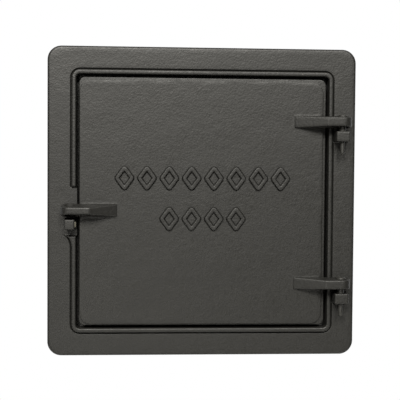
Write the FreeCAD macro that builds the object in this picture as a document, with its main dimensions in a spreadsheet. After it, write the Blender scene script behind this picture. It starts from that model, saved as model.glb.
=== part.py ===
import os
from math import pi

import FreeCAD, Part
import Sketcher
from FreeCAD import Vector

# Hinged cast iron flue door: a flanged frame with a collar, and a leaf on two pinned hinge arms with a
# latch arm that closes over a keeper lug.
# Millimetres. X is to the right, Y goes back into the wall, Z is up.
# A level is a distance in front of the flange's back face, which bears on the wall.

doc = FreeCAD.newDocument("flue_door")
sheet = doc.addObject("Spreadsheet::Sheet", "Sizes")

sizes = {
    # frame casting
    "flange_margin": 19.3,
    "flange_thickness": 6.0,
    "flange_corner": 11.5,
    "flange_edge_round": 1.8,
    "root_sink": 0.5,
    "bead_width": 3.6,
    "bead_height": 2.6,
    "bead_corner": 5.0,
    "quirk_width": 1.5,
    "quirk_depth": 1.2,
    "seat_depth": 10.0,
    "seat_overlap": 5.0,
    "lip_thickness": 4.0,
    "collar_wall": 4.2,
    "collar_depth": 32.0,
    "passage_corner": 4.0,
    # leaf casting
    "leaf_size": 203.0,
    "leaf_gap": 2.6,
    "leaf_corner": 4.5,
    "seat_clearance": 0.2,
    "plate_thickness": 4.0,
    "plate_stand": 1.2,
    "rim_wall": 4.0,
    "panel_inset": 1.7,
    "panel_left": 0.7,
    "panel_down": 0.5,
    "panel_rise": 2.4,
    "panel_corner": 9.5,
    "panel_edge_round": 1.2,
    # hinges
    "hinge_setback": 12.7,
    "hinge_inset": 34.9,
    "knuckle_radius": 7.4,
    "knuckle_clearance": 1.2,
    "arm_length": 38.8,
    "arm_flat": 13.2,
    "arm_root": 0.4,
    "arm_edge_round": 0.9,
    "head_seat_margin": 0.4,
    "arm_root_height": 10.2,
    "arm_face_height": 7.2,
    "lug_gap": 4.2,
    "lug_width": 11.6,
    "lug_height": 8.3,
    "lug_front": 4.8,
    "lug_round": 1.4,
    # hinge pins
    "pin_shank": 5.6,
    "pin_spigot": 3.6,
    "pin_clearance": 0.1,
    "pin_head": 8.0,
    "pin_head_height": 2.4,
    "pin_head_rim": 1.0,
    "pin_tail": 10.4,
    "pin_point": 2.0,
    # latch
    "latch_setback": 6.35,
    "latch_drop": 7.0,
    "latch_bay": 40.0,
    "latch_bay_drop": 8.1,
    "latch_bay_gap": 1.2,
    "latch_arm_length": 37.8,
    "latch_arm_flat": 15.9,
    "latch_arm_root_height": 10.9,
    "latch_arm_face_height": 5.4,
    "latch_lug_gap": 4.6,
    "latch_lug_width": 8.3,
    "latch_lug_height": 8.0,
    "latch_lug_front": 4.0,
    "latch_lug_round": 1.2,
    "nib_radius": 1.3,
    "nib_reach": 1.1,
    "nib_height": 5.0,
    # relief on the panel
    "lozenge_width": 12.4,
    "lozenge_height": 17.0,
    "lozenge_pitch": 18.3,
    "relief_width": 4.2,
    "relief_top": 2.2,
    "relief_rise": 1.6,
    "relief_sink": 0.2,
    "upper_row": 19.5,
    "lower_row": 13.7,
}
UPPER_COUNT = 8
LOWER_COUNT = 4

for row, (name, value) in enumerate(sizes.items(), 1):
    sheet.set(f"A{row}", name)
    sheet.set(f"B{row}", str(value))
    sheet.setAlias(f"B{row}", name)
doc.recompute()


def size(text):
    """Write an expression with every size name pointing at its cell."""
    words = text.replace("(", "( ").replace(")", " )").split()
    return " ".join(f"Sizes.{word}" if word in sizes else word for word in words)


# Levels and places that several pieces share
SEAT = size("(flange_thickness - seat_depth)")
RIM_BACK = f"({SEAT} + Sizes.seat_clearance)"
LEAF_FRONT = size("(flange_thickness + plate_stand)")
LEAF_BACK = f"({LEAF_FRONT} - Sizes.plate_thickness)"
PANEL_FRONT = f"({LEAF_FRONT} + Sizes.panel_rise)"
AXIS_LEVEL = size("(flange_thickness + knuckle_clearance + knuckle_radius)")
ARM_FRONT = f"({AXIS_LEVEL} + Sizes.knuckle_radius)"
ARM_BACK = f"({PANEL_FRONT} - Sizes.arm_root)"
BEAD_INNER = size("(leaf_size / 2 + leaf_gap)")
BEAD_OUTER = f"({BEAD_INNER} + Sizes.bead_width)"
FLANGE_HALF = f"({BEAD_OUTER} + Sizes.flange_margin)"
OPENING_HALF = size("(leaf_size / 2 - seat_overlap)")
COLLAR_HALF = f"({BEAD_INNER} + Sizes.collar_wall)"
HINGE_X = size("(leaf_size / 2 + hinge_setback)")
UPPER_HINGE_Z = size("(leaf_size / 2 - hinge_inset)")
LOWER_HINGE_Z = f"(-1 * {UPPER_HINGE_Z})"
HINGE_SPACING = f"(2 * {UPPER_HINGE_Z})"
LATCH_X = size("(-1 * (leaf_size / 2 + latch_setback))")
LATCH_Z = size("(-1 * latch_drop)")
LUG_TOP = size("(arm_face_height / 2 + lug_gap)")
KEEPER_TOP = size("(-1 * (latch_drop + latch_arm_face_height / 2 + latch_lug_gap))")


def value_of(expression):
    return float(sheet.evalExpression(expression))


def new_body(name):
    body = doc.addObject("PartDesign::Body", name)
    body.Label = name
    return body


def origin_part(body, role):
    return next(f for f in body.Origin.OriginFeatures if f.Role == role)


def new_sketch(body, plane, name, x="0", y="0", level="0"):
    """A sketch on one of the body's own planes, with its origin moved to x, y and its plane to level."""
    sketch = body.newObject("Sketcher::SketchObject", name)
    sketch.AttachmentSupport = [(origin_part(body, plane), "")]
    sketch.MapMode = "FlatFace"
    for axis, expression in (("x", x), ("y", y), ("z", level)):
        sketch.setExpression(f"AttachmentOffset.Base.{axis}", expression)
    return sketch


def bind(sketch, name, expression, *constraint):
    """Add a dimension that follows an expression."""
    kind, *where = constraint
    index = sketch.addConstraint(Sketcher.Constraint(kind, *where, value_of(expression)))
    sketch.renameConstraint(index, name)
    sketch.setExpression(f"Constraints.{name}", expression)


def relate(sketch, *constraints):
    for kind, *where in constraints:
        sketch.addConstraint(Sketcher.Constraint(kind, *where))


def line(x1, y1, x2, y2):
    return Part.LineSegment(Vector(x1, y1, 0), Vector(x2, y2, 0))


def arc(x, y, radius, start, end):
    circle = Part.Circle(Vector(x, y, 0), Vector(0, 0, 1), radius)
    return Part.ArcOfCircle(circle, start, end)


QUARTER = pi / 2


def rounded_square(sketch, half, corner, name):
    """A square with rounded corners, centred on the sketch's origin."""
    first = sketch.GeometryCount
    h, r = value_of(half), value_of(corner)
    s = h - r
    sides = [line(-s, h, s, h), line(h, s, h, -s), line(s, -h, -s, -h), line(-h, -s, -h, s)]
    centres = ((s, s), (-s, s), (-s, -s), (s, -s))
    corners = [arc(x, y, r, i * QUARTER, (i + 1) * QUARTER) for i, (x, y) in enumerate(centres)]
    sketch.addGeometry(sides + corners, False)
    ring = ((0, 4, 1), (1, 7, 2), (2, 6, 3), (3, 5, 0))
    for side, turn, next_side in ring:
        relate(
            sketch,
            ("Tangent", first + side, 2, first + turn, 2),
            ("Tangent", first + turn, 1, first + next_side, 1),
        )
    relate(
        sketch,
        ("Symmetric", first, 1, first, 2, -2),
        ("Symmetric", first + 1, 1, first + 1, 2, -1),
        ("Horizontal", first + 2),
        ("Vertical", first + 3),
        ("Equal", first + 4, first + 5),
        ("Equal", first + 4, first + 6),
        ("Equal", first + 4, first + 7),
    )
    bind(sketch, f"{name}_width", f"2 * {half}", "DistanceX", first + 3, 1, first + 1, 1)
    bind(sketch, f"{name}_height", f"2 * {half}", "DistanceY", first + 2, 1, first, 1)
    bind(sketch, f"{name}_corner", corner, "Radius", first + 4)


def place_point(sketch, name, geometry, end, x, y):
    """Fix one end of a line at x, y from the sketch's origin."""
    for axis, kind, expression in (("x", "DistanceX", x), ("y", "DistanceY", y)):
        if abs(value_of(expression)) < 1e-9:
            relate(sketch, ("PointOnObject", geometry, end, -2 if axis == "x" else -1))
        elif value_of(expression) > 0:
            bind(sketch, f"{name}_{axis}", expression, kind, -1, 1, geometry, end)
        else:
            bind(sketch, f"{name}_{axis}", f"-1 * ({expression})", kind, geometry, end, -1, 1)


def polygon(sketch, corners):
    """A closed outline of straight lines through the given corners."""
    first = sketch.GeometryCount
    points = [(value_of(x), value_of(y)) for x, y in corners]
    count = len(points)
    sketch.addGeometry([line(*points[i], *points[(i + 1) % count]) for i in range(count)], False)
    for i in range(count):
        relate(sketch, ("Coincident", first + i, 2, first + (i + 1) % count, 1))
        place_point(sketch, f"corner{i}", first + i, 1, *corners[i])


def circle(sketch, radius):
    index = sketch.addGeometry(Part.Circle(Vector(0, 0, 0), Vector(0, 0, 1), value_of(radius)), False)
    relate(sketch, ("Coincident", index, 3, -1, 1))
    bind(sketch, "radius", radius, "Radius", index)


def add_feature(body, kind, name, profile, **expressions):
    """A feature on a sketch, with its numbers following expressions."""
    feature = body.newObject(f"PartDesign::{kind}", name)
    feature.Profile = profile
    for prop, expression in expressions.items():
        feature.setExpression(prop, expression)
    profile.Visibility = False
    body.Tip = feature
    doc.recompute()
    return feature


def row_of(body, name, originals, axis, spacing, count, reverse=False):
    """Repeat features along one of the body's axes."""
    pattern = body.newObject("PartDesign::LinearPattern", name)
    pattern.Originals = originals
    pattern.Direction = (origin_part(body, axis), [""])
    pattern.Reversed = reverse
    pattern.Occurrences = count
    pattern.setExpression("Length", f"({count} - 1) * {spacing}")
    body.Tip = pattern
    doc.recompute()
    return pattern


def round_edges(body, name, base, radius, chosen):
    """Round those edges of a feature whose middle point is chosen."""
    feature = body.newObject("PartDesign::Fillet", name)
    names = []
    for number, edge in enumerate(base.Shape.Edges, 1):
        middle = edge.valueAt((edge.FirstParameter + edge.LastParameter) / 2)
        if chosen(middle, edge):
            names.append(f"Edge{number}")
    feature.Base = (base, names)
    feature.setExpression("Radius", radius)
    body.Tip = feature
    doc.recompute()
    return feature


def knuckle_cut(sketch, back, side, margin):
    """All that lies outside a knuckle's circle at the end of an arm, with the circle about the origin."""
    r, b, m = value_of("Sizes.knuckle_radius"), value_of(back), value_of(margin)
    inner = (r * r - b * b) ** 0.5
    far = -side * (r + m)
    turn = Part.Arc(Vector(0, -r, 0), Vector(-side * r, 0, 0), Vector(side * inner, b, 0))
    sketch.addGeometry(
        [
            turn,
            line(side * inner, b, side * inner, b + m),
            line(side * inner, b + m, far, b + m),
            line(far, b + m, far, -r - m),
            line(far, -r - m, 0, -r - m),
            line(0, -r - m, 0, -r),
        ],
        False,
    )
    front_end, back_end = (1, 2) if side < 0 else (2, 1)
    relate(
        sketch,
        ("Coincident", 0, back_end, 1, 1),
        ("Coincident", 1, 2, 2, 1),
        ("Coincident", 2, 2, 3, 1),
        ("Coincident", 3, 2, 4, 1),
        ("Coincident", 4, 2, 5, 1),
        ("Coincident", 5, 2, 0, front_end),
        ("Coincident", 0, 3, -1, 1),
        ("PointOnObject", 5, 2, -2),
        ("Vertical", 1),
        ("Horizontal", 2),
        ("Vertical", 3),
        ("Horizontal", 4),
        ("Vertical", 5),
    )
    bind(sketch, "knuckle", "Sizes.knuckle_radius", "Radius", 0)
    bind(sketch, "back", back, "DistanceY", -1, 1, 1, 1)
    bind(sketch, "below", margin, "DistanceY", 1, 1, 1, 2)
    bind(sketch, "above", margin, "DistanceY", 5, 1, 5, 2)
    ends = (-1, 1, 3, 1) if side < 0 else (3, 1, -1, 1)
    bind(sketch, "beyond", f"Sizes.knuckle_radius + {margin}", "DistanceX", *ends)


def sloping_arm(body, name, x, z, side, back, lengths, heights):
    """A drafted arm, wide at its root and narrow on its face, that slopes down to its tip and ends in a
    round knuckle. Lengths and heights are given for the face and for the root."""
    arm = body.newObject("PartDesign::AdditiveWedge", name)
    arm.setExpression("Ymin", f"-1 * {ARM_FRONT}")
    arm.setExpression("Ymax", f"-1 * {back}")
    for mark, length, height in zip(("", "2"), lengths, heights):
        reach = (f"{x} - {side} * Sizes.knuckle_radius", f"{x} + {side} * {length}")
        low, high = reach if side > 0 else reach[::-1]
        arm.setExpression(f"X{mark}min", low)
        arm.setExpression(f"X{mark}max", high)
        arm.setExpression(f"Z{mark}min", f"{z} - {height} / 2")
        arm.setExpression(f"Z{mark}max", f"{z} + {height} / 2")
    body.Tip = arm
    doc.recompute()
    plan = new_sketch(body, "XY_Plane", f"{name}_knuckle_plan", x, f"-1 * {AXIS_LEVEL}", z)
    knuckle_cut(plan, f"({AXIS_LEVEL} - {back})", side, "Sizes.knuckle_clearance / 2")
    knuckle = add_feature(body, "Pocket", f"{name}_knuckle", plan, Length=f"{heights[1]} + 2")
    knuckle.SideType = "Symmetric"
    doc.recompute()
    return [arm, knuckle]


def soft_arm_edges(body, name, base, x, length):
    """Round the outer edges of arms, all but the line where the face runs smoothly into the knuckle."""
    root, seam, reach = value_of(PANEL_FRONT), value_of(x), value_of(length)

    def outer(middle, edge):
        upright = abs(edge.Vertexes[0].Z - edge.Vertexes[-1].Z) > 1
        on_seam = abs(middle.x - seam) < 1e-3 and upright
        on_arm = middle.x * seam > 0 and abs(middle.x) > abs(seam) - reach
        return -middle.y > root + 0.2 and on_arm and not on_seam

    return round_edges(body, name, base, "Sizes.arm_edge_round", outer)


def vertical_hole(body, name, x, top, radius, depth):
    """A round hole downwards from a height."""
    sketch = new_sketch(body, "XY_Plane", f"{name}_circle", x, f"-1 * {AXIS_LEVEL}", top)
    circle(sketch, radius)
    return add_feature(body, "Pocket", name, sketch, Length=depth)


# Frame casting: flange, collar with a stop lip, bead with its quirk, lugs
frame = new_body("door_frame")
flange_outline = new_sketch(frame, "XZ_Plane", "flange_outline")
rounded_square(flange_outline, FLANGE_HALF, "Sizes.flange_corner", "flange")
flange = add_feature(frame, "Pad", "flange", flange_outline, Length="Sizes.flange_thickness")
flange_level = value_of("Sizes.flange_thickness")
flange_round = round_edges(
    frame, "flange_round", flange, "Sizes.flange_edge_round", lambda p, e: abs(p.y + flange_level) < 1e-6
)

REBATE_CORNER = size("(bead_corner - bead_width / 2)")
collar_outline = new_sketch(frame, "XZ_Plane", "collar_outline")
rounded_square(collar_outline, COLLAR_HALF, f"({REBATE_CORNER} + Sizes.collar_wall)", "collar")
collar = add_feature(frame, "Pad", "collar", collar_outline, Length="Sizes.collar_depth")
collar.Reversed = True
doc.recompute()

rebate_outline = new_sketch(frame, "XZ_Plane", "rebate_outline", level="Sizes.flange_thickness")
rounded_square(rebate_outline, BEAD_INNER, REBATE_CORNER, "rebate")
rebate = add_feature(frame, "Pocket", "rebate", rebate_outline, Length="Sizes.seat_depth")

passage_outline = new_sketch(frame, "XZ_Plane", "passage_outline", level="Sizes.flange_thickness")
rounded_square(passage_outline, OPENING_HALF, "Sizes.passage_corner", "passage")
passage = add_feature(frame, "Pocket", "passage", passage_outline)
passage.Type = "ThroughAll"
doc.recompute()

rear_outline = new_sketch(frame, "XZ_Plane", "rear_outline", level=f"{SEAT} - Sizes.lip_thickness")
rounded_square(rear_outline, BEAD_INNER, REBATE_CORNER, "rear")
rear = add_feature(frame, "Pocket", "rear", rear_outline)
rear.Type = "ThroughAll"
doc.recompute()

# The bead runs round the rebate with a quirk outside it, and both stop above and below the latch
BEAD_LINE = f"({BEAD_INNER} + Sizes.bead_width / 2)"
BAY_TOP = size("(latch_bay / 2 - latch_bay_drop)")
BAY_BOTTOM = size("(latch_bay / 2 + latch_bay_drop)")


def bead_run(name):
    """Path of the bead: a rounded square, open on the left beside the latch."""
    path = new_sketch(frame, "XZ_Plane", name, level="Sizes.flange_thickness")
    h, r = value_of(BEAD_LINE), value_of("Sizes.bead_corner")
    s, top, bottom = h - r, value_of(BAY_TOP), -value_of(BAY_BOTTOM)
    path.addGeometry(
        [
            line(-s, h, s, h),
            line(h, s, h, -s),
            line(s, -h, -s, -h),
            line(-h, -s, -h, bottom),
            line(-h, top, -h, s),
            arc(s, s, r, 0, QUARTER),
            arc(-s, s, r, QUARTER, 2 * QUARTER),
            arc(-s, -s, r, 2 * QUARTER, 3 * QUARTER),
            arc(s, -s, r, 3 * QUARTER, 4 * QUARTER),
        ],
        False,
    )
    relate(
        path,
        ("Tangent", 0, 2, 5, 2),
        ("Tangent", 5, 1, 1, 1),
        ("Tangent", 1, 2, 8, 2),
        ("Tangent", 8, 1, 2, 1),
        ("Tangent", 2, 2, 7, 2),
        ("Tangent", 7, 1, 3, 1),
        ("Tangent", 4, 2, 6, 2),
        ("Tangent", 6, 1, 0, 1),
        ("Symmetric", 0, 1, 0, 2, -2),
        ("Symmetric", 1, 1, 1, 2, -1),
        ("Horizontal", 2),
        ("Vertical", 3),
        ("Vertical", 4),
        ("Vertical", 3, 2, 4, 1),
        ("Equal", 5, 6),
        ("Equal", 5, 7),
        ("Equal", 5, 8),
    )
    bind(path, "width", f"2 * {BEAD_LINE}", "DistanceX", 4, 1, 1, 1)
    bind(path, "height", f"2 * {BEAD_LINE}", "DistanceY", 2, 1, 0, 1)
    bind(path, "corner", "Sizes.bead_corner", "Radius", 5)
    bind(path, "bay_top", BAY_TOP, "DistanceY", -1, 1, 4, 1)
    bind(path, "bay_bottom", BAY_BOTTOM, "DistanceY", 3, 2, -1, 1)
    return path


def carried_along(kind, name, profile, path):
    """Carry a section along the bead's path."""
    pipe = frame.newObject(f"PartDesign::{kind}", name)
    pipe.Profile = profile
    pipe.Spine = (path, [])
    frame.Tip = pipe
    doc.recompute()
    return pipe


def section_at_bay(name):
    """A sketch across the bead's path at its upper end, with its origin on the flange's face."""
    return new_sketch(frame, "XY_Plane", name, f"-1 * {BEAD_LINE}", "-1 * Sizes.flange_thickness", BAY_TOP)


quirk_section = section_at_bay("quirk_section")
QUIRK_IN, QUIRK_OUT = size("(-1 * bead_width / 2)"), size("(-1 * (bead_width / 2 + quirk_width))")
QUIRK_BOTTOM = size("(-1 * (bead_width / 2 + quirk_width / 3))")
quirk_top = size("-1 * root_sink")
polygon(
    quirk_section,
    (
        (QUIRK_OUT, quirk_top),
        (QUIRK_OUT, "0"),
        (QUIRK_BOTTOM, "Sizes.quirk_depth"),
        (QUIRK_IN, "Sizes.quirk_depth"),
        (QUIRK_IN, quirk_top),
    ),
)
quirk = carried_along("SubtractivePipe", "quirk", quirk_section, bead_run("quirk_path"))

bead_section = section_at_bay("bead_section")


def draw_bead(sketch):
    """Half round on two short walls, sunk a little below the bottom of the quirk."""
    w, t = value_of("Sizes.bead_width") / 2, value_of("Sizes.bead_height")
    low = value_of("Sizes.quirk_depth") + value_of("Sizes.root_sink")
    sketch.addGeometry(
        [
            line(-w, w - t, -w, low),
            line(-w, low, w, low),
            line(w, low, w, w - t),
            arc(0, w - t, w, 2 * QUARTER, 4 * QUARTER),
        ],
        False,
    )
    relate(
        sketch,
        ("Coincident", 0, 2, 1, 1),
        ("Coincident", 1, 2, 2, 1),
        ("Tangent", 0, 1, 3, 1),
        ("Tangent", 2, 2, 3, 2),
        ("Symmetric", 1, 1, 1, 2, -2),
        ("Vertical", 0),
        ("Vertical", 2),
    )
    bind(sketch, "width", "Sizes.bead_width", "DistanceX", 1, 1, 1, 2)
    bind(sketch, "height", size("bead_height - bead_width / 2"), "DistanceY", 3, 3, -1, 1)
    bind(sketch, "sink", size("quirk_depth + root_sink"), "DistanceY", -1, 1, 1, 1)


draw_bead(bead_section)
bead = carried_along("AdditivePipe", "bead", bead_section, bead_run("bead_path"))

# Flush pad that closes the rebate beside the latch
bay_outline = new_sketch(frame, "XZ_Plane", "bay_outline", level=SEAT)
bay_left, bay_right = f"-1 * {BEAD_INNER} - Sizes.root_sink", size("-1 * (leaf_size / 2 + latch_bay_gap)")
bay_low = f"-1 * {BAY_BOTTOM}"
polygon(bay_outline, ((bay_left, BAY_TOP), (bay_right, BAY_TOP), (bay_right, bay_low), (bay_left, bay_low)))
bay = add_feature(frame, "Pad", "bay", bay_outline, Length="Sizes.seat_depth")


def block_lug(name, x, top, width, front, corner, height):
    """A lug on the flange with a flat face and two rounded corners, and a hole for a pin."""
    plan = new_sketch(frame, "XY_Plane", f"{name}_plan", x, f"-1 * {AXIS_LEVEL}", top)
    foot = f"({AXIS_LEVEL} - Sizes.flange_thickness + Sizes.root_sink)"
    w, f, r, b = value_of(width) / 2, value_of(front), value_of(corner), value_of(foot)
    plan.addGeometry(
        [
            line(-w, r - f, -w, b),
            line(-w, b, w, b),
            line(w, b, w, r - f),
            line(r - w, -f, w - r, -f),
            arc(r - w, r - f, r, 2 * QUARTER, 3 * QUARTER),
            arc(w - r, r - f, r, 3 * QUARTER, 4 * QUARTER),
        ],
        False,
    )
    relate(
        plan,
        ("Coincident", 0, 2, 1, 1),
        ("Coincident", 1, 2, 2, 1),
        ("Tangent", 0, 1, 4, 1),
        ("Tangent", 4, 2, 3, 1),
        ("Tangent", 3, 2, 5, 1),
        ("Tangent", 5, 2, 2, 2),
        ("Symmetric", 1, 1, 1, 2, -2),
        ("Vertical", 0),
        ("Vertical", 2),
        ("Horizontal", 3),
        ("Equal", 4, 5),
    )
    bind(plan, "width", width, "DistanceX", 1, 1, 1, 2)
    bind(plan, "front", front, "DistanceY", 3, 1, -1, 1)
    bind(plan, "corner", corner, "Radius", 4)
    bind(plan, "foot", foot, "DistanceY", -1, 1, 1, 1)
    lug = add_feature(frame, "Pad", name, plan, Length=height)
    lug.Reversed = True
    doc.recompute()
    hole = vertical_hole(frame, f"{name}_hole", x, top, size("pin_spigot / 2 + pin_clearance"), height)
    return [lug, hole]


UPPER_LUG_TOP = f"({UPPER_HINGE_Z} - {LUG_TOP})"
hinge_lug = block_lug(
    "hinge_lug",
    HINGE_X,
    UPPER_LUG_TOP,
    "Sizes.lug_width",
    "Sizes.lug_front",
    "Sizes.lug_round",
    "Sizes.lug_height",
)
lugs = row_of(frame, "hinge_lugs", hinge_lug, "Z_Axis", HINGE_SPACING, 2, True)
latch_lug = block_lug(
    "latch_lug",
    LATCH_X,
    KEEPER_TOP,
    "Sizes.latch_lug_width",
    "Sizes.latch_lug_front",
    "Sizes.latch_lug_round",
    "Sizes.latch_lug_height",
)

# A round nib on the keeper's side, next to the leaf's edge
nib_plan = new_sketch(
    frame,
    "XY_Plane",
    "nib_plan",
    f"{LATCH_X} + Sizes.latch_lug_width / 2 + Sizes.nib_reach - Sizes.nib_radius",
    f"-1 * ({AXIS_LEVEL} + Sizes.latch_lug_front - Sizes.latch_lug_round - Sizes.nib_radius)",
    f"{KEEPER_TOP} - (Sizes.latch_lug_height + Sizes.nib_height) / 2",
)
circle(nib_plan, "Sizes.nib_radius")
nib = add_feature(frame, "Pad", "nib", nib_plan, Length="Sizes.nib_height")

# Leaf casting: plate with a rim that seats on the lip, raised panel, hinge arms, latch arm, relief
leaf = new_body("door_leaf")
LEAF_HALF = size("(leaf_size / 2)")
rim_outline = new_sketch(leaf, "XZ_Plane", "rim_outline", level=RIM_BACK)
rounded_square(rim_outline, LEAF_HALF, "Sizes.leaf_corner", "rim")
rim = add_feature(leaf, "Pad", "rim", rim_outline, Length=f"{LEAF_FRONT} - {RIM_BACK}")
hollow_outline = new_sketch(leaf, "XZ_Plane", "hollow_outline", level=LEAF_BACK)
rounded_square(hollow_outline, size("(leaf_size / 2 - rim_wall)"), "Sizes.leaf_corner / 2", "hollow")
hollow = add_feature(leaf, "Pocket", "hollow", hollow_outline)
hollow.Type = "ThroughAll"
doc.recompute()
panel_outline = new_sketch(
    leaf, "XZ_Plane", "panel_outline", "-1 * Sizes.panel_left", "-1 * Sizes.panel_down", LEAF_FRONT
)
rounded_square(panel_outline, size("(leaf_size / 2 - panel_inset)"), "Sizes.panel_corner", "panel")
panel = add_feature(leaf, "Pad", "panel", panel_outline, Length="Sizes.panel_rise")
panel_level = value_of(PANEL_FRONT)
panel_round = round_edges(
    leaf, "panel_round", panel, "Sizes.panel_edge_round", lambda p, e: abs(p.y + panel_level) < 1e-6
)

arm_parts = sloping_arm(
    leaf,
    "hinge_arm",
    HINGE_X,
    UPPER_HINGE_Z,
    -1,
    ARM_BACK,
    ("Sizes.arm_flat", "Sizes.arm_length"),
    ("Sizes.arm_face_height", "Sizes.arm_root_height"),
)
arms = row_of(leaf, "hinge_arms", arm_parts, "Z_Axis", HINGE_SPACING, 2, True)
arm_round = soft_arm_edges(leaf, "arm_round", arms, HINGE_X, "Sizes.arm_length")

# Each arm has a hole for its pin and a flat seat for the pin's head
head_seat = vertical_hole(
    leaf,
    "head_seat",
    HINGE_X,
    f"({UPPER_HINGE_Z} + Sizes.arm_root_height)",
    size("pin_head / 2 + head_seat_margin"),
    size("arm_root_height - arm_face_height / 2"),
)
arm_hole = vertical_hole(
    leaf,
    "hinge_arm_hole",
    HINGE_X,
    f"({UPPER_HINGE_Z} + Sizes.arm_root_height)",
    "Sizes.pin_shank / 2",
    "2 * Sizes.arm_root_height",
)
arm_holes = row_of(leaf, "hinge_arm_holes", [head_seat, arm_hole], "Z_Axis", HINGE_SPACING, 2, True)

# The latch arm stands over the keeper lug, with a hole for a peg
latch_parts = sloping_arm(
    leaf,
    "latch_arm",
    LATCH_X,
    LATCH_Z,
    1,
    ARM_BACK,
    ("Sizes.latch_arm_flat", "Sizes.latch_arm_length"),
    ("Sizes.latch_arm_face_height", "Sizes.latch_arm_root_height"),
)
latch_round = soft_arm_edges(leaf, "latch_round", latch_parts[-1], LATCH_X, "Sizes.latch_arm_length")
latch_arm_hole = vertical_hole(
    leaf,
    "latch_arm_hole",
    LATCH_X,
    f"({LATCH_Z} + Sizes.latch_arm_root_height)",
    size("pin_spigot / 2 + pin_clearance"),
    "2 * Sizes.latch_arm_root_height",
)


def lozenge_row(name, count, z):
    """A row of raised lozenge rings with sloping sides and mitred corners, centred on the leaf."""
    x = f"(-1 * ({count} - 1) / 2 * Sizes.lozenge_pitch)"
    path = new_sketch(leaf, "XZ_Plane", f"{name}_path", x, z, PANEL_FRONT)
    right, top = size("(lozenge_width / 2)"), size("(lozenge_height / 2)")
    polygon(path, ((right, "0"), ("0", top), (f"-1 * {right}", "0"), ("0", f"-1 * {top}")))

    profile = new_sketch(
        leaf,
        "XY_Plane",
        f"{name}_profile",
        f"{x} + {right}",
        f"-1 * ({PANEL_FRONT} - Sizes.relief_sink)",
        z,
    )
    foot, crest = size("relief_width / 2"), size("relief_top / 2")
    rise = size("-1 * (relief_rise + relief_sink)")
    polygon(profile, ((f"-1 * {foot}", "0"), (f"-1 * {crest}", rise), (crest, rise), (foot, "0")))
    ring = leaf.newObject("PartDesign::AdditivePipe", f"{name}_lozenge")
    ring.Profile = profile
    ring.Spine = (path, [])
    ring.Transition = "Right corner"
    leaf.Tip = ring
    doc.recompute()
    return row_of(leaf, name, [ring], "X_Axis", "Sizes.lozenge_pitch", count)


upper_row = lozenge_row("upper_row", UPPER_COUNT, "Sizes.upper_row")
lower_row = lozenge_row("lower_row", LOWER_COUNT, "-1 * Sizes.lower_row")


def turned_pin(name, x, z, corners):
    """A round pin about a vertical axis, from half of its outline."""
    body = new_body(name)
    outline = new_sketch(body, "XZ_Plane", f"{name}_outline", x, z, AXIS_LEVEL)
    polygon(outline, corners)
    pin = body.newObject("PartDesign::Revolution", f"{name}_turned")
    pin.Profile = outline
    pin.ReferenceAxis = (outline, ["V_Axis"])
    pin.Angle = 360
    outline.Visibility = False
    body.Tip = pin
    doc.recompute()
    return body


# Hinge pins: head on the arm, shoulder on the lug, pointed tail below it
HEAD_SEAT = size("arm_face_height / 2")
SHOULDER = f"-1 * {LUG_TOP}"
TAIL = f"-1 * ({LUG_TOP} + Sizes.lug_height + Sizes.pin_tail)"
hinge_pin_outline = (
    ("0", f"{HEAD_SEAT} + Sizes.pin_head_height"),
    ("0.3 * Sizes.pin_head", f"{HEAD_SEAT} + Sizes.pin_head_height"),
    ("Sizes.pin_head / 2", f"{HEAD_SEAT} + Sizes.pin_head_rim"),
    ("Sizes.pin_head / 2", HEAD_SEAT),
    ("Sizes.pin_shank / 2", HEAD_SEAT),
    ("Sizes.pin_shank / 2", SHOULDER),
    ("Sizes.pin_spigot / 2", SHOULDER),
    ("Sizes.pin_spigot / 2", f"{TAIL} + Sizes.pin_point"),
    ("0.25 * Sizes.pin_spigot", TAIL),
    ("0", TAIL),
)
upper_pin = turned_pin("upper_hinge_pin", HINGE_X, UPPER_HINGE_Z, hinge_pin_outline)
lower_pin = turned_pin("lower_hinge_pin", HINGE_X, LOWER_HINGE_Z, hinge_pin_outline)

doc.recompute()
bodies = (frame, leaf, upper_pin, lower_pin)
for item in doc.Objects:
    if "Invalid" in item.State or "Error" in item.State:
        raise RuntimeError(f"{item.Label} did not build: {item.State}")
os.makedirs("parts", exist_ok=True)
for body in bodies:
    shape = body.Shape
    if shape.isNull() or not shape.isValid() or len(shape.Solids) != 1:
        raise RuntimeError(f"{body.Label} is not one sound solid")
    shape.exportStep(f"parts/{body.Label}.step")
    box = shape.BoundBox
    extent = " x ".join(f"{length:.1f}" for length in (box.XLength, box.YLength, box.ZLength))
    print(f"{body.Label}: {shape.Volume / 1000:.2f} cm3, {extent}")
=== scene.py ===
# %% [markdown]
# # A hinged cast iron flue door
#
# A square frame casting carries a square leaf. The leaf turns on two pinned hinge arms at the
# right, and at the left its latch arm closes over a keeper lug. Frame and leaf are sand cast and
# painted a satin black, so the look comes from three things: soft edges where the sand rounded the
# pattern, a finely pebbled skin, and paint that gleams a little on those edges.
#
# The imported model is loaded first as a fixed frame. All lengths below are in millimetres, and a
# level is a distance in front of the flange's back face.

import bpy
import numpy as np
from mathutils import Matrix, Vector


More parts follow.
